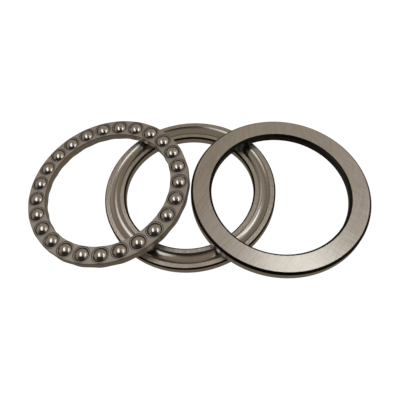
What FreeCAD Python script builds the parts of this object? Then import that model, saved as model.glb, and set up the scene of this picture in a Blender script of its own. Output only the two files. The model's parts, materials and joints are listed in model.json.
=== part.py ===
import FreeCAD, Part
import os
from math import atan2, cos, degrees, hypot, pi, sin, sqrt
from FreeCAD import Placement, Rotation, Vector

# Single-direction thrust ball bearing, lying open: the shaft washer flat on its back with its raceway
# up, the caged balls and the housing washer each leaning on it from one side.
# Millimetres, +Z up. The origin is the centre of the shaft washer's back face, on the floor.

# Washers: both are as broad outside the shaft, and the housing washer's bore clears the shaft
shaft_bore_diameter = 90.0
washer_breadth = 15.0
shaft_clearance = 1.0
washer_height = 6.8

# Their chamfers: the bore's is the same all over, but for the housing washer's back, which is chamfered
# wide at the bore and the rim. That washer's rim is barely broken on its raceway side.
bore_chamfer = 1.2
shaft_rim_chamfer = 1.0
housing_back_chamfer = 1.6
housing_rim_chamfer = 0.4

# Raceways and balls
raceway_depth = 1.356
groove_radius_per_ball_diameter = 0.54
ball_diameter = 11.112
least_gap_between_balls = 2.0
first_ball_angle = 1.7

# Cage, pressed from sheet: a flat web with a skirt turned down along each edge
cage_sheet = 0.6
cage_height = 5.6
skirt_clearance = 0.35
skirt_fold_radius = 0.6
skirt_lip = 0.55
pocket_clearance = 0.3
dish_depth = 0.35
dish_width = 0.65

# How the open rings lie
floor_clearance = 0.05
leaning_clearance = 0.35
side_clearance = 0.5
housing_overlap = 57.6
side_offset = -3.0

shaft_bore_radius = shaft_bore_diameter / 2
housing_bore_radius = shaft_bore_radius + shaft_clearance
washer_radius = shaft_bore_radius + washer_breadth
pitch_radius = shaft_bore_radius + washer_breadth / 2
ball_radius = ball_diameter / 2
groove_radius = groove_radius_per_ball_diameter * ball_diameter
ball_count = int(2 * pi * pitch_radius / (ball_diameter + least_gap_between_balls))

skirt_reach = ball_radius + skirt_clearance + cage_sheet
cage_outer_radius = pitch_radius + skirt_reach
cage_inner_radius = pitch_radius - skirt_reach
pocket_radius = ball_radius + pocket_clearance

flat_rim_radius = washer_radius - shaft_rim_chamfer
lean_height = washer_height + leaning_clearance - floor_clearance


def crossing_reach(distance, crossing_radius):
    """How far out along X a ring's circle of crossing_radius, its centre at that distance along X and
    at side_offset across, crosses the shaft washer's rim in plan: the further of the two places."""
    apart = hypot(distance, side_offset)
    along = (apart**2 + flat_rim_radius**2 - crossing_radius**2) / (2 * apart)
    across = sqrt(flat_rim_radius**2 - along**2)
    return (along * distance + across * abs(side_offset)) / apart


def lean_angle(distance, foot_radius, crossing_radius):
    """The tilt, in radians, of a ring whose foot is on the floor and whose circle of crossing_radius
    just clears the shaft washer's rim."""
    return atan2(lean_height, distance + foot_radius - crossing_reach(distance, crossing_radius))


def shaft_lie():
    """The shaft washer lies flat, its back face on the floor."""
    return Placement(Vector(0, 0, washer_height / 2), Rotation())


def housing_lie():
    """Where the housing washer's centre is and how it leans: its foot away from the shaft washer."""
    distance = 2 * washer_radius - housing_overlap
    foot_radius = washer_radius - housing_rim_chamfer
    lean = lean_angle(distance, foot_radius, housing_bore_radius + bore_chamfer)
    foot_depth = foot_radius * sin(lean) + washer_height / 2 * cos(lean)
    centre = Vector(distance, side_offset, floor_clearance + foot_depth)
    return Placement(centre, Rotation(Vector(0, 1, 0), degrees(lean)))


def cage_lie():
    """Where the caged balls' centre is and how they lean: their lowest ball away from the washers."""
    apart = washer_radius + cage_outer_radius + side_clearance
    distance = apart - housing_lie().Base.x
    lean = lean_angle(distance, pitch_radius, pitch_radius)
    foot_depth = pitch_radius * sin(lean) + ball_radius
    centre = Vector(-distance, side_offset, floor_clearance + foot_depth)
    return Placement(centre, Rotation(Vector(0, 1, 0), -degrees(lean)))


def revolved(profile):
    """A closed profile in the XZ plane turned once around the Z axis."""
    return Part.Face(Part.Wire(profile)).revolve(Vector(0, 0, 0), Vector(0, 0, 1), 360)


def polyline(points):
    """Straight edges through (radius, height) points, in order."""
    corners = [Vector(radius, 0, height) for radius, height in points]
    return [Part.makeLine(start, end) for start, end in zip(corners, corners[1:])]


def fold(outer_radius, web_height, outward):
    """The rounded outer corner where the web turns down into a skirt, from skirt to web."""
    centre_radius = outer_radius - outward * skirt_fold_radius
    centre_height = web_height - skirt_fold_radius
    slant = skirt_fold_radius * sqrt(0.5)
    return Part.Arc(
        Vector(outer_radius, 0, centre_height),
        Vector(centre_radius + outward * slant, 0, centre_height + slant),
        Vector(centre_radius, 0, web_height),
    ).toShape()


def washer(bore_radius, back_chamfers, raceway_chamfers):
    """A flat ring, its back down, with a ball groove turned into its top face. Each side's chamfers
    are those of its bore and of its rim."""
    half = washer_height / 2
    back_bore, back_rim = back_chamfers
    raceway_bore, raceway_rim = raceway_chamfers
    corners = [
        (bore_radius + back_bore, -half),
        (washer_radius - back_rim, -half),
        (washer_radius, -half + back_rim),
        (washer_radius, half - raceway_rim),
        (washer_radius - raceway_rim, half),
        (bore_radius + raceway_bore, half),
        (bore_radius, half - raceway_bore),
        (bore_radius, -half + back_bore),
    ]
    ring = revolved(polyline(corners + corners[:1]))
    groove_height = half - raceway_depth + groove_radius
    groove = Part.makeTorus(pitch_radius, groove_radius, Vector(0, 0, groove_height))
    return ring.cut(groove)


def shaft_washer():
    """The washer that the shaft carries, chamfered alike on both sides."""
    chamfers = (bore_chamfer, shaft_rim_chamfer)
    return washer(shaft_bore_radius, chamfers, chamfers)


def housing_washer():
    """The washer that sits in the housing, its bore wide enough to clear the shaft."""
    back_chamfers = (housing_back_chamfer, housing_back_chamfer)
    return washer(housing_bore_radius, back_chamfers, (bore_chamfer, housing_rim_chamfer))


def cage_channel():
    """The cage before its pockets: an upturned channel whose skirts end in lips turned in."""
    half = cage_height / 2
    outer, inner = cage_outer_radius, cage_inner_radius
    fold_height = half - skirt_fold_radius
    hollow = [
        (inner, fold_height),
        (inner, -half),
        (inner + cage_sheet + skirt_lip, -half),
        (inner + cage_sheet + skirt_lip, -half + cage_sheet),
        (inner + cage_sheet, -half + cage_sheet),
        (inner + cage_sheet, half - cage_sheet),
        (outer - cage_sheet, half - cage_sheet),
        (outer - cage_sheet, -half + cage_sheet),
        (outer - cage_sheet - skirt_lip, -half + cage_sheet),
        (outer - cage_sheet - skirt_lip, -half),
        (outer, -half),
        (outer, fold_height),
    ]
    web = polyline([(outer - skirt_fold_radius, half), (inner + skirt_fold_radius, half)])
    return revolved(polyline(hollow) + [fold(outer, half, 1)] + web + [fold(inner, half, -1)])


def pocket():
    """What is taken out of the cage for one ball: its clearance sphere, and a dish in the web from a
    cone twice as tall as the dish is deep, so that it runs out past the web."""
    dish_floor = cage_height / 2 - dish_depth
    hole_radius = sqrt(pocket_radius**2 - dish_floor**2)
    cone_top_radius = hole_radius + 2 * dish_width
    dish = Part.makeCone(hole_radius, cone_top_radius, 2 * dish_depth, Vector(0, 0, dish_floor))
    return Part.makeSphere(pocket_radius).fuse(dish)


def ball_places():
    """The ball centres around the cage, in the cage's own frame."""
    turn = Rotation(Vector(0, 0, 1), 360 / ball_count)
    place = Rotation(Vector(0, 0, 1), first_ball_angle).multVec(Vector(pitch_radius, 0, 0))
    places = []
    for _ in range(ball_count):
        places.append(place)
        place = turn.multVec(place)
    return places


def cage():
    """The pressed cage with one pocket for each ball."""
    pockets = []
    for place in ball_places():
        cutter = pocket()
        cutter.translate(place)
        pockets.append(cutter)
    return cage_channel().cut(pockets)


def ball(place):
    """One ball, its poles up and down in the cage's own frame."""
    return Part.makeSphere(ball_radius, place)


def laid(shape, lie):
    """The shape where its ring lies, with its own mid-plane and axis at that placement."""
    shape.Placement = lie.multiply(shape.Placement)
    return shape


def save(shape, node):
    """Write one piece after checking that it is a single sound solid."""
    solid = shape.Solids[0]
    assert len(shape.Solids) == 1 and solid.isValid(), node
    solid.exportStep("parts/" + node + ".step")


def face_down():
    """The housing washer is turned over, so that its raceway faces the balls below it."""
    return Placement(Vector(0, 0, 0), Rotation(Vector(1, 0, 0), 180))


os.makedirs("parts", exist_ok=True)
save(laid(shaft_washer(), shaft_lie()), "shaft_washer")
save(laid(housing_washer(), housing_lie().multiply(face_down())), "housing_washer")
save(laid(cage(), cage_lie()), "cage")
for number, place in enumerate(ball_places(), start=1):
    save(laid(ball(place), cage_lie()), f"ball_{number:02d}")

assembled_height = 2 * washer_height + ball_diameter - 2 * raceway_depth
print("balls:", ball_count, "assembled height:", round(assembled_height, 3))
print("housing lie:", housing_lie())
print("cage lie:", cage_lie())
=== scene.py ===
import json
from math import atan2, pi, radians, sqrt

import bmesh
import bpy
from mathutils import Matrix, Vector


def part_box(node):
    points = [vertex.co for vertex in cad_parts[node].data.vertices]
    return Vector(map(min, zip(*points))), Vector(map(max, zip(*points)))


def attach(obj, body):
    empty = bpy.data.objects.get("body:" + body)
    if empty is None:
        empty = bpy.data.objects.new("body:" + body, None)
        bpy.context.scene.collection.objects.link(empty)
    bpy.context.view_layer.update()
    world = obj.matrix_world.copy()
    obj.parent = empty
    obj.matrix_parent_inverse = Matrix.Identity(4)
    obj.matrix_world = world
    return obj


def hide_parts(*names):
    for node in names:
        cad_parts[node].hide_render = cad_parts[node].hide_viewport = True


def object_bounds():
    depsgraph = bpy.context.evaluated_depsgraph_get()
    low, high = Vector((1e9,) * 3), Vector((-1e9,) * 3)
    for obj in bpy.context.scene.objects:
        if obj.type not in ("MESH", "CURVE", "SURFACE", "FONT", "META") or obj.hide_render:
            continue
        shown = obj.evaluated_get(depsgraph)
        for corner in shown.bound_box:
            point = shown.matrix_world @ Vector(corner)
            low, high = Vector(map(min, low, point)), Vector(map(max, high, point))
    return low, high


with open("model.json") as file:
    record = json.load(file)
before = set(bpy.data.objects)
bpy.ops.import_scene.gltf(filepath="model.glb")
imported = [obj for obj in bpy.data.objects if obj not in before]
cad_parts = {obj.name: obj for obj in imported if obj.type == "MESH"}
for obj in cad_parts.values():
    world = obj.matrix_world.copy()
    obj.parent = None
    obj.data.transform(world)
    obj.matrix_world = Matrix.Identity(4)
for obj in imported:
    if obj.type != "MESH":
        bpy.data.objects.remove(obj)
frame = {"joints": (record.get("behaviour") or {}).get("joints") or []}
cad_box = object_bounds()

# Sizes of the bearing's pieces, in millimetres, each in its own ring's frame: axis along Z, mid-plane at 0
MM = 0.001
PITCH_RADIUS = 52.5
BALL_RADIUS = 5.556
BALL_COUNT = 25
FIRST_BALL_ANGLE = 1.7
GROOVE_RADIUS = 6.0005
GROOVE_DEPTH = 1.356
GROOVE_HALF_WIDTH = sqrt(GROOVE_RADIUS**2 - (GROOVE_RADIUS - GROOVE_DEPTH) ** 2)

WASHER = {
    "Rim Radius": 60.0,
    "Height": 6.8,
    "Pitch Radius": PITCH_RADIUS,
    "Groove Radius": GROOVE_RADIUS,
    "Groove Depth": GROOVE_DEPTH,
    "Edge Break": 0.12,
}
SHAFT_WASHER = {
    "Bore Radius": 45.0,
    "Raceway Bore Chamfer": 1.2,
    "Raceway Rim Chamfer": 1.0,
    "Back Bore Chamfer": 1.2,
    "Back Rim Chamfer": 1.0,
}
HOUSING_WASHER = {
    "Bore Radius": 46.0,
    "Raceway Bore Chamfer": 1.2,
    "Raceway Rim Chamfer": 0.4,
    "Back Bore Chamfer": 1.6,
    "Back Rim Chamfer": 1.6,
}

# The cage's web rides high on the balls. Each pocket has a shallow dish pressed round its hole.
CAGE = {
    "Outer Radius": 59.006,
    "Inner Radius": 45.994,
    "Web Height": 3.4,
    "Foot Depth": 2.4,
    "Fold Radius": 0.9,
    "Lip": 1.15,
    "Hole Radius": 4.98,
    "Dish Radius": 5.969,
    "Dish Wall": 0.25,
    "Dish Depth": 0.25,
    "Skirt Bulge": 0.36,
}
CAGE_SHEET = 0.6

# How finely the pieces are meshed
WASHER_STEPS = {"Segments": 256, "Groove Steps": 24}
POCKET_STEPS = 16
WEB_STEPS = 8
FOLD_STEPS, WALL_STEPS, LIP_STEPS = 8, 6, 4
BALL_STEPS = 18

# Points closer together than this are merged
SEAM = 0.002 * MM


def put_in_scene(name, data):
    """A new object that holds the data."""
    holder = bpy.data.objects.new(name, data)
    bpy.context.scene.collection.objects.link(holder)
    return holder


class Value:
    """A node's output to calculate with. Each operator adds the Math or Vector Math node for it."""

    def __init__(self, recipe, socket):
        self.recipe, self.socket = recipe, socket

    def also(self, name):
        """Another output of the same node."""
        return Value(self.recipe, self.socket.node.outputs[name])

    def does(self, operation, *others):
        return self.recipe.calculate(operation, self, *others)

    def __add__(self, other):
        return self.does("ADD", other)

    def __sub__(self, other):
        return self.does("SUBTRACT", other)

    def __rsub__(self, other):
        return self.recipe.calculate("SUBTRACT", other, self)

    def __mul__(self, other):
        return self.does("MULTIPLY", other)

    def __truediv__(self, other):
        return self.does("DIVIDE", other)

    def __rtruediv__(self, other):
        return self.recipe.calculate("DIVIDE", other, self)

    def __pow__(self, other):
        return self.does("POWER", other)

    def __mod__(self, other):
        return self.does("FLOORED_MODULO", other)

    def __gt__(self, other):
        return self.does("GREATER_THAN", other)

    def __neg__(self):
        return self * -1

    def __abs__(self):
        return self.does("ABSOLUTE")

    __radd__ = __add__
    __rmul__ = __mul__


class Recipe:
    """A node tree being written."""

    def __init__(self, tree):
        self.tree = tree

    def add(self, kind, settings=None, values=None, output=0):
        """Adds a node: first its settings, then the values or links of its sockets, by name or number."""
        node = self.tree.nodes.new(kind)
        for setting, choice in (settings or {}).items():
            if setting == "choices":
                while len(node.index_switch_items) < choice:
                    node.index_switch_items.new()
            else:
                setattr(node, setting, choice)
        for name, value in (values or {}).items():
            self.feed(node.inputs[name], value)
        return Value(self, node.outputs[output]) if node.outputs else node

    def feed(self, socket, value):
        """Links a value, several values or a plain number or colour to a socket."""
        if isinstance(value, list):
            for each in reversed(value):
                self.feed(socket, each)
        elif isinstance(value, Value):
            self.tree.links.new(value.socket, socket)
        elif socket.type == "VECTOR" and isinstance(value, (int, float)):
            socket.default_value = (value,) * 3
        elif socket.type == "RGBA":
            socket.default_value = (*value, 1)
        else:
            socket.default_value = value

    def calculate(self, operation, *terms):
        """One Math node, or Vector Math where a term is a vector."""
        vector = any(
            isinstance(term, (tuple, Vector)) or isinstance(term, Value) and term.socket.type == "VECTOR"
            for term in terms
        )
        kind = "ShaderNodeVectorMath" if vector else "ShaderNodeMath"
        output = "Value" if vector and operation in ("LENGTH", "DOT_PRODUCT", "DISTANCE") else 0
        return self.add(kind, {"operation": operation}, dict(enumerate(terms)), output)

    def vector(self, x, y, z):
        return self.add("ShaderNodeCombineXYZ", None, {"X": x, "Y": y, "Z": z})

    def parts(self, vector):
        whole = self.add("ShaderNodeSeparateXYZ", None, {"Vector": vector}, "X")
        return whole, whole.also("Y"), whole.also("Z")

    def mix(self, factor, first, second):
        """Between two numbers."""
        return self.add("ShaderNodeMix", {"data_type": "FLOAT"}, {0: factor, 2: first, 3: second})

    def tint(self, factor, first, second):
        """Between two colours."""
        return self.add("ShaderNodeMix", {"data_type": "RGBA"}, {0: factor, 6: first, 7: second}, 2)

    def ramp(self, value, low, high, start=0.0, end=1.0):
        """A smooth step from start to end while value goes from low to high."""
        settings = {"interpolation_type": "SMOOTHSTEP"}
        places = {"Value": value, "From Min": low, "From Max": high, "To Min": start, "To Max": end}
        return self.add("ShaderNodeMapRange", settings, places)

    def ramp_linear(self, value, low, high):
        """From 0 to 1 while value goes from low to high."""
        return self.add("ShaderNodeMapRange", None, {"Value": value, "From Min": low, "From Max": high})

    def noise(self, vector, scale, detail, roughness):
        """Noise from 0 to 1 in vector's own units."""
        values = {"Vector": vector, "Scale": scale, "Detail": detail, "Roughness": roughness}
        return self.add("ShaderNodeTexNoise", {"noise_dimensions": "3D"}, values)


class ShapeTree(Recipe):
    """A Geometry Nodes tree with named inputs."""

    def __init__(self, name, sizes, counts=(), places=()):
        super().__init__(bpy.data.node_groups.new(name, "GeometryNodeTree"))
        self.identifiers = {}
        kinds = [(size, "NodeSocketFloat") for size in sizes]
        kinds += [(count, "NodeSocketInt") for count in counts]
        kinds += [(place, "NodeSocketVector") for place in places]
        for label, kind in kinds + [("Finish", "NodeSocketMaterial")]:
            socket = self.tree.interface.new_socket(label, in_out="INPUT", socket_type=kind)
            self.identifiers[label] = socket.identifier
        self.tree.interface.new_socket("Geometry", in_out="OUTPUT", socket_type="NodeSocketGeometry")
        self.inputs = self.tree.nodes.new("NodeGroupInput")

    def input(self, label):
        return Value(self, self.inputs.outputs[label])

    def place(self, geometry, position):
        """Every point of the geometry moved to that position."""
        return self.add("GeometryNodeSetPosition", None, {"Geometry": geometry, "Position": position})

    def grid(self, across, along):
        """A flat grid and its two coordinates, each from 0 to 1."""
        values = {"Size X": 1.0, "Size Y": 1.0, "Vertices X": across, "Vertices Y": along}
        mesh = self.add("GeometryNodeMeshGrid", None, values)
        x, y, _ = self.parts(self.add("GeometryNodeInputPosition"))
        return mesh, x + 0.5, y + 0.5

    def merged(self, geometry):
        """The geometry with points that lie together made one."""
        return self.add("GeometryNodeMergeByDistance", None, {"Geometry": geometry, "Distance": SEAM})

    def end(self, geometry):
        """Closes the tree: instances made real, seams merged, finish set."""
        geometry = self.add("GeometryNodeRealizeInstances", None, {"Geometry": geometry})
        geometry = self.merged(geometry)
        finish = {"Geometry": geometry, "Material": self.input("Finish")}
        geometry = self.add("GeometryNodeSetMaterial", None, finish)
        out = self.tree.nodes.new("NodeGroupOutput")
        self.tree.links.new(geometry.socket, out.inputs[0])

    def grow(self, name, finish, sizes):
        """A plain mesh object from this tree with those sizes."""
        piece = put_in_scene(name, bpy.data.meshes.new(name))
        modifier = piece.modifiers.new("shape", "NODES")
        modifier.node_group = self.tree
        for label, value in {**sizes, "Finish": finish}.items():
            modifier[self.identifiers[label]] = value
        settle(piece)
        return piece


def settle(piece):
    """The piece's modifiers are worked out into its own mesh, and removed."""
    bpy.context.view_layer.update()
    depsgraph = bpy.context.evaluated_depsgraph_get()
    mesh = bpy.data.meshes.new_from_object(piece.evaluated_get(depsgraph), depsgraph=depsgraph)
    mesh.name = piece.name
    piece.modifiers.clear()
    piece.data = mesh


def tidy_surface(piece, sharp_angle):
    """Merges the piece's doubles, turns its faces outwards and shades it smooth up to that angle."""
    shell = bmesh.new()
    shell.from_mesh(piece.data)
    bmesh.ops.remove_doubles(shell, verts=shell.verts, dist=SEAM / 2)
    bmesh.ops.recalc_face_normals(shell, faces=shell.faces)
    shell.to_mesh(piece.data)
    shell.free()
    piece.data.shade_smooth()
    piece.data.set_sharp_from_angle(angle=sharp_angle)


def washer_tree():
    """A ring turned from its section: a rectangle with chamfered corners and a groove in its top side."""
    tree = ShapeTree("grooved washer", [*WASHER, *SHAFT_WASHER], ["Segments", "Groove Steps"])
    rim, bore, pitch = (tree.input(f"{label} Radius") * MM for label in ("Rim", "Bore", "Pitch"))
    rim_top, rim_back = (tree.input(f"{side} Rim Chamfer") * MM for side in ("Raceway", "Back"))
    bore_top, bore_back = (tree.input(f"{side} Bore Chamfer") * MM for side in ("Raceway", "Back"))
    groove, depth = tree.input("Groove Radius") * MM, tree.input("Groove Depth") * MM
    half = tree.input("Height") * MM / 2
    corners = [
        (bore + bore_top, half),
        (bore, half - bore_top),
        (bore, bore_back - half),
        (bore + bore_back, -half),
        (rim - rim_back, -half),
        (rim, rim_back - half),
        (rim, half - rim_top),
        (rim - rim_top, half),
    ]
    index = tree.add("GeometryNodeInputIndex")
    choices = {
        number: tree.vector(radius, 0.0, height) for number, (radius, height) in enumerate(corners, start=1)
    }
    settings = {"data_type": "VECTOR", "choices": len(corners)}
    corner = tree.add("GeometryNodeIndexSwitch", settings, {0: index, **choices})

    steps = tree.input("Groove Steps")
    slant = ((groove - depth) / groove).does("ARCCOSINE")
    turn = slant - slant * 2 * (index - len(corners)) / steps
    groove_floor = half - depth
    arc_height = groove_floor + groove - groove * turn.does("COSINE")
    arc = tree.vector(pitch + groove * turn.does("SINE"), 0.0, arc_height)
    is_groove = index > len(corners) - 0.5
    line = tree.add("GeometryNodeMeshLine", None, {"Count": steps + len(corners) + 1})
    where = tree.add("GeometryNodeSwitch", {"input_type": "VECTOR"}, {0: is_groove, 1: corner, 2: arc})
    section = tree.add("GeometryNodeMeshToCurve", None, {"Mesh": tree.place(line, where)})
    section = tree.add("GeometryNodeSetSplineCyclic", None, {"Geometry": section, "Cyclic": True})
    radius, _, _ = tree.parts(tree.add("GeometryNodeInputPosition"))
    edge = abs(radius - pitch) > groove * slant.does("SINE") - 0.01 * MM
    edge_break = edge * tree.input("Edge Break") * MM
    rounding = {"Curve": section, "Count": 2, "Radius": edge_break, "Limit Radius": True}
    section = tree.add("GeometryNodeFilletCurve", {"mode": "POLY"}, rounding)

    count = tree.add("GeometryNodeAttributeDomainSize", {"component": "CURVE"}, {"Geometry": section})
    segments = tree.input("Segments")
    ring, around, along = tree.grid(segments + 1, count + 1)
    number = (along * count).does("ROUND") % count
    look_up = {"Geometry": section, "Value": tree.add("GeometryNodeInputPosition"), "Index": number}
    sample = tree.add("GeometryNodeSampleIndex", {"data_type": "FLOAT_VECTOR"}, look_up)
    out, _, up = tree.parts(sample)
    angle = around * (2 * pi)
    tree.end(tree.place(ring, tree.vector(out * angle.does("COSINE"), out * angle.does("SINE"), up)))
    return tree


def cage_tree():
    """A ring of pockets: one pocket's web, folds, skirts and lips, repeated round the axis. Only the
    sheet's outer side is made here; its thickness comes afterwards."""
    tree = ShapeTree("caged channel", [*CAGE, "Pitch Radius", "First Angle"], ["Pockets"])
    size = {label: tree.input(label) * MM for label in [*CAGE, "Pitch Radius"]}
    outer, inner, pitch = size["Outer Radius"], size["Inner Radius"], size["Pitch Radius"]
    top, foot, fold = size["Web Height"], size["Foot Depth"], size["Fold Radius"]
    half_turn = pi / tree.input("Pockets")

    def dished(radius, angle, height):
        """A point of the sheet, pressed down where the dish is."""
        x, y = radius * angle.does("COSINE"), radius * angle.does("SINE")
        reach = ((x - pitch) ** 2 + y**2).does("SQRT")
        inside = size["Dish Radius"] - reach
        pressed = top - size["Dish Depth"] * (inside / size["Dish Wall"]).does("MINIMUM", 1.0)
        return tree.vector(x, y, height.does("MINIMUM", pressed.does("MAXIMUM", -foot)))

    def web(edge):
        """The web between the pocket's hole and one side of its sector."""
        patch, across, out = tree.grid(POCKET_STEPS + 1, WEB_STEPS + 1)
        radius, angle = edge(across)
        side = tree.vector(radius * angle.does("COSINE"), radius * angle.does("SINE"), 0.0)
        centre = tree.vector(pitch, 0.0, 0.0)
        reach = (side - centre).does("LENGTH")
        direction = (side - centre).does("NORMALIZE")
        dish = size["Dish Radius"].does("MINIMUM", reach)
        wall = (size["Dish Radius"] - size["Dish Wall"]).does("MINIMUM", reach)
        hole = size["Hole Radius"]
        # Up to which share of the rows the dish's floor reaches, and its wall
        floor_end, wall_end = 0.25, 0.5
        near = hole + (wall - hole) * tree.ramp_linear(out, 0.0, floor_end)
        near = near + (dish - wall) * tree.ramp_linear(out, floor_end, wall_end)
        near = near + (reach - dish) * tree.ramp_linear(out, wall_end, 1.0)
        x, y, _ = tree.parts(centre + direction * near)
        radius = (x**2 + y**2).does("SQRT")
        angle = y.does("ARCTAN2", x)
        return tree.place(patch, dished(radius, angle, top))

    def skirt(rim, outward):
        """A fold, its skirt, bulged at the pocket, and its lip turned in."""
        steps = FOLD_STEPS + WALL_STEPS + LIP_STEPS
        fold_end, wall_end = FOLD_STEPS / steps, (FOLD_STEPS + WALL_STEPS) / steps
        patch, across, down = tree.grid(POCKET_STEPS + 1, steps + 1)
        angle = (across * 2 - 1) * half_turn
        bend = tree.ramp_linear(down, 0.0, fold_end) * (pi / 2)
        drop = tree.ramp_linear(down, fold_end, wall_end)
        turned_in = tree.ramp_linear(down, wall_end, 1.0)
        straight = top + foot - fold
        height = top - fold * (1 - bend.does("COSINE")) - straight * drop
        away = fold * (1 - bend.does("SINE")) + size["Lip"] * turned_in
        between = 0.5 - 0.5 * (angle * (pi / half_turn)).does("COSINE")
        away = away + size["Skirt Bulge"] * between * tree.ramp(down, 0.1, 0.6)
        radius = rim - away if outward else rim + away
        return tree.place(patch, dished(radius, angle, height))

    def round_side(radius):
        return lambda across: (radius, (across * 2 - 1) * half_turn)

    def straight_side(sign):
        return lambda across: (inner + fold + (outer - inner - fold * 2) * across, half_turn * sign)

    patches = [web(round_side(outer - fold)), web(round_side(inner + fold))]
    patches += [web(straight_side(1)), web(straight_side(-1)), skirt(outer, True), skirt(inner, False)]
    sector = tree.add("GeometryNodeJoinGeometry", None, {"Geometry": patches})
    points = tree.add("GeometryNodeMeshLine", None, {"Count": tree.input("Pockets"), "Offset": (0, 0, 0)})
    turn = tree.input("First Angle") * (pi / 180) + tree.add("GeometryNodeInputIndex") * half_turn * 2
    rotation = tree.add("FunctionNodeEulerToRotation", None, {0: tree.vector(0.0, 0.0, turn)})
    around = {"Points": points, "Instance": tree.merged(sector), "Rotation": rotation}
    tree.end(tree.add("GeometryNodeInstanceOnPoints", None, around))
    return tree


def ball_tree():
    """A ball from a cube whose squares are rounded out, so that no point of it is a pole."""
    tree = ShapeTree("ball", ["Radius"], ["Steps"], ["Centre"])
    steps = tree.input("Steps") + 1
    cube = {"Size": 2.0, "Vertices X": steps, "Vertices Y": steps, "Vertices Z": steps}
    cube = tree.add("GeometryNodeMeshCube", None, cube)
    position = tree.add("GeometryNodeInputPosition")
    x, y, z = tree.parts(position * (pi / 4))
    even = tree.vector(x.does("TANGENT"), y.does("TANGENT"), z.does("TANGENT")).does("NORMALIZE")
    tree.end(tree.place(cube, tree.input("Centre") + even * (tree.input("Radius") * MM)))
    return tree


class Finish(Recipe):
    """A steel finish: a Principled shader fed with what is worked out over the surface."""

    def __init__(self, name, centre=(0, 0, 0), lean=0.0):
        material = bpy.data.materials.new(name)
        material.use_nodes = True
        super().__init__(material.node_tree)
        self.material = material
        self.shader = self.tree.nodes["Principled BSDF"]
        place = self.add("ShaderNodeTexCoord", None, None, "Object")
        settings = {"vector_type": "TEXTURE"}
        values = {"Vector": place, "Location": centre, "Rotation": (0, lean, 0), "Scale": (MM, MM, MM)}
        self.local = self.add("ShaderNodeMapping", settings, values)

    def feeds(self, **values):
        for name, value in values.items():
            self.feed(self.shader.inputs[name.replace("_", " ")], value)

    def bump(self, height):
        """A normal from a height in millimetres."""
        return self.add("ShaderNodeBump", None, {"Height": height, "Strength": 1.0, "Distance": MM})


def washer_finish(name, centre, lean, raceway_side, bore_radius, bore_left_black, wheels, line_depth):
    """Ground faces and walls, a polished raceway and chamfers left black from hardening, told apart by
    where they are. The housing washer's bore carries nothing, so it is left black too."""
    steel = Finish(name, centre, lean)
    x, y, z = steel.parts(steel.local)
    radius = (x**2 + y**2).does("SQRT")
    angle = y.does("ARCTAN2", x)
    side = z * raceway_side
    half = WASHER["Height"] / 2

    # How near a flat or a wall its finish begins, and how near it is whole
    begins, whole = 0.06, 0.02
    rim_radius = WASHER["Rim Radius"]
    face = steel.ramp(abs(z), half - begins, half - whole)
    in_groove = steel.ramp(abs(radius - PITCH_RADIUS), GROOVE_HALF_WIDTH + 0.03, GROOVE_HALF_WIDTH - 0.03)
    in_groove = in_groove * steel.ramp(side, half - 1.6, half - 1.4)
    face = face * (1 - in_groove)
    wall = steel.ramp(radius, rim_radius - begins, rim_radius - whole)
    if not bore_left_black:
        wall = wall + steel.ramp(radius, bore_radius + begins, bore_radius + whole)
    black = (1 - wall) * (1 - face) * (1 - in_groove)

    def arcs(wheel, spacing, length):
        """Lines that a wide grinding wheel leaves as it sweeps over the face, round its own centre."""
        across, along = x - wheel[0], y - wheel[1]
        reach = (across**2 + along**2).does("SQRT")
        turn = along.does("ARCTAN2", across)
        far = sqrt(wheel[0] ** 2 + wheel[1] ** 2)
        return steel.noise(steel.vector(reach * (1 / spacing), turn * (far / length), 0.0), 1.0, 1.0, 0.5)

    crossing = steel.ramp(x, -30.0, 45.0, 0.15, 0.55)
    fine = steel.mix(crossing, arcs(wheels[0], 0.8, 16), arcs(wheels[1], 0.7, 12))
    broad = steel.mix(crossing, arcs(wheels[0], 2.1, 30), arcs(wheels[1], 1.8, 24))
    hair = arcs(wheels[0], 0.22, 12)
    rings = steel.noise(steel.vector(radius * 3.0, z * 3.0, angle * 0.5), 1.0, 2.0, 0.6)
    cloud = steel.noise(steel.local, 0.07, 3.0, 0.55)
    mottle = steel.noise(steel.local, 0.28, 2.0, 0.55)
    stain = steel.noise(steel.local, 0.035, 2.0, 0.5)

    bright = steel.tint(cloud, (0.61, 0.585, 0.545), (0.575, 0.54, 0.49))
    bright = steel.tint(steel.ramp(stain, 0.45, 0.7) * 0.35, bright, (0.53, 0.505, 0.43))
    line_colour = (0.42, 0.39, 0.345)
    lined = steel.tint(steel.ramp(fine, 0.62, 0.38) * 0.42, bright, line_colour)
    lined = steel.tint(steel.ramp(broad, 0.60, 0.40) * 0.26, lined, line_colour)
    turned = steel.tint(rings, (0.47, 0.435, 0.39), (0.56, 0.525, 0.48))
    polished = steel.tint(rings, (0.415, 0.39, 0.355), (0.475, 0.455, 0.425))
    scale = steel.tint(mottle, (0.020, 0.018, 0.016), (0.034, 0.031, 0.028))
    colour = steel.tint(face, turned, lined)
    colour = steel.tint(in_groove, colour, polished)
    colour = steel.tint(black, colour, scale)

    rough_face = 0.30 + 0.12 * (fine - 0.5) + 0.10 * (broad - 0.5) + 0.06 * (mottle - 0.5)
    rough_groove = 0.16 + 0.05 * rings + 0.04 * (cloud - 0.5)
    rough = steel.mix(in_groove, steel.mix(face, 0.27 + 0.10 * rings, rough_face), rough_groove)
    rough = steel.mix(black, rough, 0.34 + 0.1 * mottle)

    ground = hair * line_depth + fine * 0.006 + broad * 0.008 + mottle * 0.003
    height = ground * face + rings * (1 - face) * 0.0014
    steel.feeds(
        Base_Color=colour,
        Metallic=1 - 0.09 * face,
        Roughness=rough,
        Normal=steel.bump(height),
    )
    return steel.material


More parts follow.
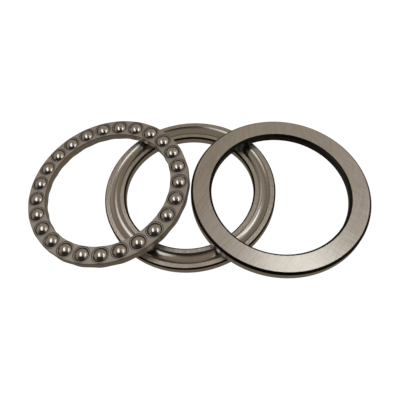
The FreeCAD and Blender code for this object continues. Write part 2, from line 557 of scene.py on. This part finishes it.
def cage_finish(name, centre, lean):
    """Pressed sheet: matt warm grey, with a painted highlight along its web's edges and painted shade on
    its skirts, under its folds, in its dishes' walls and round its pocket holes."""
    sheet = Finish(name, centre, lean)
    x, y, z = sheet.parts(sheet.local)
    radius = (x**2 + y**2).does("SQRT")
    step = 2 * pi / BALL_COUNT
    first = radians(FIRST_BALL_ANGLE)
    angle = (y.does("ARCTAN2", x) - first + step / 2) % step - step / 2
    reach = (
        (radius * angle.does("COSINE") - PITCH_RADIUS) ** 2 + (radius * angle.does("SINE")) ** 2
    ).does("SQRT")

    # Masks from the depth below the web's top and the way out from the nearest pocket's middle
    below = CAGE["Web Height"] - z
    web = sheet.ramp(below, 1.7, 0.7)
    # Painted shade: a dark line just under each fold
    shade_under_fold = sheet.ramp(abs(below - 0.8), 0.45, 0.15)
    # Painted shade: a dark ring in the corner of each dish's wall
    crease_shade = sheet.ramp(abs(reach - CAGE["Dish Radius"] + 0.08), 0.34, 0.16) * web
    # Painted shade: near-black round each pocket's hole, for the shaded gap beside the ball
    hole = sheet.ramp(reach - CAGE["Hole Radius"], 0.22, 0.06)
    # Painted highlight: the web is lighter along its inner and outer edges, where the folds catch light
    edge = sheet.ramp(abs(radius - PITCH_RADIUS), 5.6, 6.0) * sheet.ramp(below, 1.9, 0.8)
    grain = sheet.noise(sheet.local, 2.2, 3.0, 0.65)
    cloud = sheet.noise(sheet.local, 0.12, 3.0, 0.55)
    drawn = sheet.noise(sheet.vector(radius * 0.8, z * 0.8, angle * 30), 1.0, 2.0, 0.6)

    colour = sheet.tint(cloud, (0.555, 0.508, 0.458), (0.50, 0.458, 0.412))
    colour = sheet.tint(grain * 0.45, colour, (0.33, 0.295, 0.26))
    # Painted highlight along the web's edges
    colour = sheet.tint(edge * 0.25, colour, (0.62, 0.575, 0.52))
    # Painted shade: the skirts below the web are darker
    colour = sheet.tint((1 - web) * 0.35, colour, (0.28, 0.252, 0.225))
    # Painted shade under the folds
    colour = sheet.tint(shade_under_fold * 0.7, colour, (0.04, 0.036, 0.032))
    # Painted shade in the dishes' walls
    colour = sheet.tint(crease_shade * 0.85, colour, (0.035, 0.03, 0.026))
    # Painted shade round the pocket holes
    colour = sheet.tint(hole, colour, (0.012, 0.011, 0.01))
    rough = sheet.mix(web, 0.34, 0.60) + 0.12 * (grain - 0.5) + 0.10 * (cloud - 0.5)
    height = grain * 0.006 + drawn * 0.01 + cloud * 0.02
    sheet.feeds(
        Base_Color=colour,
        Metallic=0.7,
        Roughness=rough,
        Normal=sheet.bump(height),
    )
    return sheet.material


def ball_finish(name):
    """Lapped and polished steel with a faint haze and hair-fine random scratches."""
    steel = Finish(name)
    haze = steel.noise(steel.local, 0.45, 3.0, 0.6)
    settings = {"feature": "DISTANCE_TO_EDGE"}
    cell = steel.add("ShaderNodeTexVoronoi", settings, {"Vector": steel.local, "Scale": 0.9})
    scratch = steel.ramp(cell, 0.012, 0.0)
    colour = steel.tint(haze, (0.63, 0.61, 0.58), (0.56, 0.535, 0.50))
    steel.feeds(
        Base_Color=colour,
        Metallic=1.0,
        Roughness=0.04 + 0.04 * haze + 0.05 * scratch,
        Normal=steel.bump(scratch * -0.0006 + haze * 0.002),
    )
    return steel.material


# Where each ring is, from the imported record's joints
joints = {joint["name"]: joint for joint in frame["joints"]}


def lie(joint):
    """A ring's centre, its lean about Y and the matrix that lays it there."""
    centre, axis = Vector(joint["pos_m"]), joint["axis"]
    lean = atan2(axis[0], axis[2])
    return centre, lean, Matrix.Translation(centre) @ Matrix.Rotation(lean, 4, "Y")


housing_centre, housing_lean, housing_lie = lie(joints["housing_spin"])
cage_centre, cage_lean, cage_lie = lie(joints["cage_spin"])
shaft_centre = Vector((0, 0, WASHER["Height"] * MM / 2))
shaft_lie = Matrix.Translation(shaft_centre)
face_down = Matrix.Rotation(pi, 4, "X")


def fit(piece, lying, body):
    """Lays the piece in its place, in its mesh, hides the CAD part that it stands for and gives it its
    body.
    """
    piece.data.transform(lying)
    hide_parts(body)
    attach(piece, body)


washers = washer_tree()
shaft_finish = washer_finish(
    "shaft_washer_steel",
    shaft_centre,
    0.0,
    raceway_side=1,
    bore_radius=SHAFT_WASHER["Bore Radius"],
    bore_left_black=False,
    wheels=((-600, 0), (90, 120)),
    line_depth=0.09,
)
housing_finish = washer_finish(
    "housing_washer_steel",
    housing_centre,
    housing_lean,
    raceway_side=-1,
    bore_radius=HOUSING_WASHER["Bore Radius"],
    bore_left_black=True,
    wheels=((-140, 48), (114, 91)),
    line_depth=0.012,
)
for name, own_sizes, finish, lying in (
    ("shaft_washer", SHAFT_WASHER, shaft_finish, shaft_lie),
    ("housing_washer", HOUSING_WASHER, housing_finish, housing_lie @ face_down),
):
    washer = washers.grow(name + "_turned", finish, {**WASHER, **own_sizes, **WASHER_STEPS})
    tidy_surface(washer, radians(6))
    fit(washer, lying, name)

cage_sizes = {**CAGE, "Pitch Radius": PITCH_RADIUS, "First Angle": FIRST_BALL_ANGLE, "Pockets": BALL_COUNT}
cage = cage_tree().grow("cage_pressed", cage_finish("cage_sheet", cage_centre, cage_lean), cage_sizes)
tidy_surface(cage, radians(25))
highest = max(cage.data.polygons, key=lambda face: face.center.z)
if highest.normal.z < 0:
    cage.data.flip_normals()
thickness = cage.modifiers.new("sheet", "SOLIDIFY")
thickness.thickness = CAGE_SHEET * MM
thickness.offset = -1
thickness.use_even_offset = True
settle(cage)
fit(cage, cage_lie, "cage")

balls = ball_tree()
polish = ball_finish("ball_polish")
for number in range(1, BALL_COUNT + 1):
    node = f"ball_{number:02d}"
    low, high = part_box(node)
    sizes = {"Radius": BALL_RADIUS, "Steps": BALL_STEPS, "Centre": (low + high) / 2}
    ball = balls.grow(node + "_lapped", polish, sizes)
    tidy_surface(ball, pi)
    fit(ball, Matrix(), node)


def lay_table():
    """A pale table: plain white where the camera looks at it, a dim warm glow where the rings do."""
    finish = bpy.data.materials.new("pale_table")
    finish.use_nodes = True
    finish.cycles.emission_sampling = "NONE"
    paint = Recipe(finish.node_tree)
    finish.node_tree.nodes.clear()
    seen = paint.add("ShaderNodeLightPath", None, None, "Is Camera Ray")
    warm = paint.add("ShaderNodeBsdfDiffuse", None, {"Color": (0.14, 0.122, 0.102)})
    glow = paint.add("ShaderNodeEmission", None, {"Color": (0.185, 0.156, 0.122), "Strength": 1.0})
    warm = paint.add("ShaderNodeAddShader", None, {0: warm, 1: glow})
    white = paint.add("ShaderNodeEmission", None, {"Color": (1, 1, 1), "Strength": 1.05})
    both = paint.add("ShaderNodeMixShader", None, {0: seen, 1: warm, 2: white})
    paint.add("ShaderNodeOutputMaterial", None, {"Surface": both})

    low, high = cad_box
    middle = (Vector(low) + Vector(high)) / 2
    sheet = bmesh.new()
    bmesh.ops.create_grid(sheet, x_segments=2, y_segments=2, size=3.0)
    top = bpy.data.meshes.new("table_top")
    sheet.to_mesh(top)
    sheet.free()
    top.transform(Matrix.Translation((middle.x, middle.y, 0)))
    top.materials.append(finish)
    floor = put_in_scene("table_top", top)


def paint_room():
    """A dim warm room, dark on the camera's side, and plain white where the camera looks at it."""
    world = bpy.data.worlds.new("room")
    world.use_nodes = True
    world.cycles.sampling_method = "NONE"
    bpy.context.scene.world = world
    room = Recipe(world.node_tree)
    world.node_tree.nodes.clear()
    direction = room.add("ShaderNodeTexCoord", None, None, "Generated")
    _, _, up = room.parts(direction)
    # The dark lies round the direction that the camera looks from, and is wider near the horizon
    front = direction.does("DOT_PRODUCT", (-0.1, -0.86, 0.5)) + 0.24 * room.ramp(up, 0.32, 0.04)
    warm = room.tint(room.ramp(up, 0.2, 0.9), (0.328, 0.285, 0.228), (0.330, 0.273, 0.206))
    dark = room.tint(room.ramp(up, -0.02, 0.1), (0.205, 0.190, 0.176), (0.034, 0.027, 0.028))
    light = room.tint(room.ramp(front, 0.43, 0.87), warm, dark)
    seen = room.add("ShaderNodeLightPath", None, None, "Is Camera Ray")
    light = room.tint(seen, light, (1, 1, 1))
    glow = room.add("ShaderNodeBackground", None, {"Color": light, "Strength": 1.0})
    room.add("ShaderNodeOutputWorld", None, {"Surface": glow})


# Each lamp's place and size in metres, its outline and the light that its surface gives off
LAMPS = (
    ("right_softbox", (0.197, -0.078, 0.272), (0.118, 0.155), "RECTANGLE", (1.35, 1.43, 1.38)),
    ("right_lamp", (0.15, 0.055, 0.268), (0.10, 0.12), "ELLIPSE", (1.90, 1.97, 2.04)),
    ("middle_panel", (0.079, 0.078, 0.272), (0.118, 0.155), "RECTANGLE", (0.196, 0.194, 0.215)),
    ("right_back_panel", (0.33, 0.12, 0.272), (0.13, 0.36), "RECTANGLE", (0.63, 0.59, 0.69)),
    ("back_panel", (0.15, 0.25, 0.272), (0.22, 0.15), "RECTANGLE", (0.132, 0.144, 0.148)),
    ("left_softbox", (-0.143, -0.078, 0.272), (0.132, 0.155), "RECTANGLE", (1.22, 1.27, 1.25)),
    ("left_lamp", (-0.19, 0.01, 0.27), (0.13, 0.20), "ELLIPSE", (0.645, 0.75, 0.908)),
    ("left_back_panel", (-0.173, 0.078, 0.272), (0.118, 0.155), "RECTANGLE", (0.82, 0.76, 0.80)),
)


def hang_lamps():
    """Softboxes, lamps and panels over the table, all facing down."""
    for name, place, size, outline, radiance in LAMPS:
        lamp = bpy.data.lights.new(name, "AREA")
        lamp.shape = outline
        lamp.size, lamp.size_y = size
        area = size[0] * size[1] * (pi / 4 if outline == "ELLIPSE" else 1)
        lamp.energy = pi * area
        lamp.color = radiance
        holder = put_in_scene(name, lamp)
        holder.location = place
        holder.visible_camera = False


def set_camera():
    """Looks down at the rings from the front, a little from the right and turned slightly."""
    lens = bpy.data.cameras.new("camera")
    lens.sensor_width = 36.0
    lens.lens = 44.29
    lens.shift_x, lens.shift_y = 0.0516, -0.0128
    lens.clip_start = 0.01
    holder = put_in_scene("camera", lens)
    right = Vector((0.98934, 0.08717, -0.11664)).normalized()
    back = Vector((0.14483, -0.50607, 0.85025)).normalized()
    up = back.cross(right).normalized()
    right = up.cross(back)
    turned = Matrix((right, up, back)).transposed().to_4x4()
    holder.matrix_world = Matrix.Translation((0.043621, -0.178503, 0.298969)) @ turned
    bpy.context.scene.camera = holder


bpy.context.scene.view_settings.view_transform = "Standard"
lay_table()
paint_room()
hang_lamps()
set_camera()
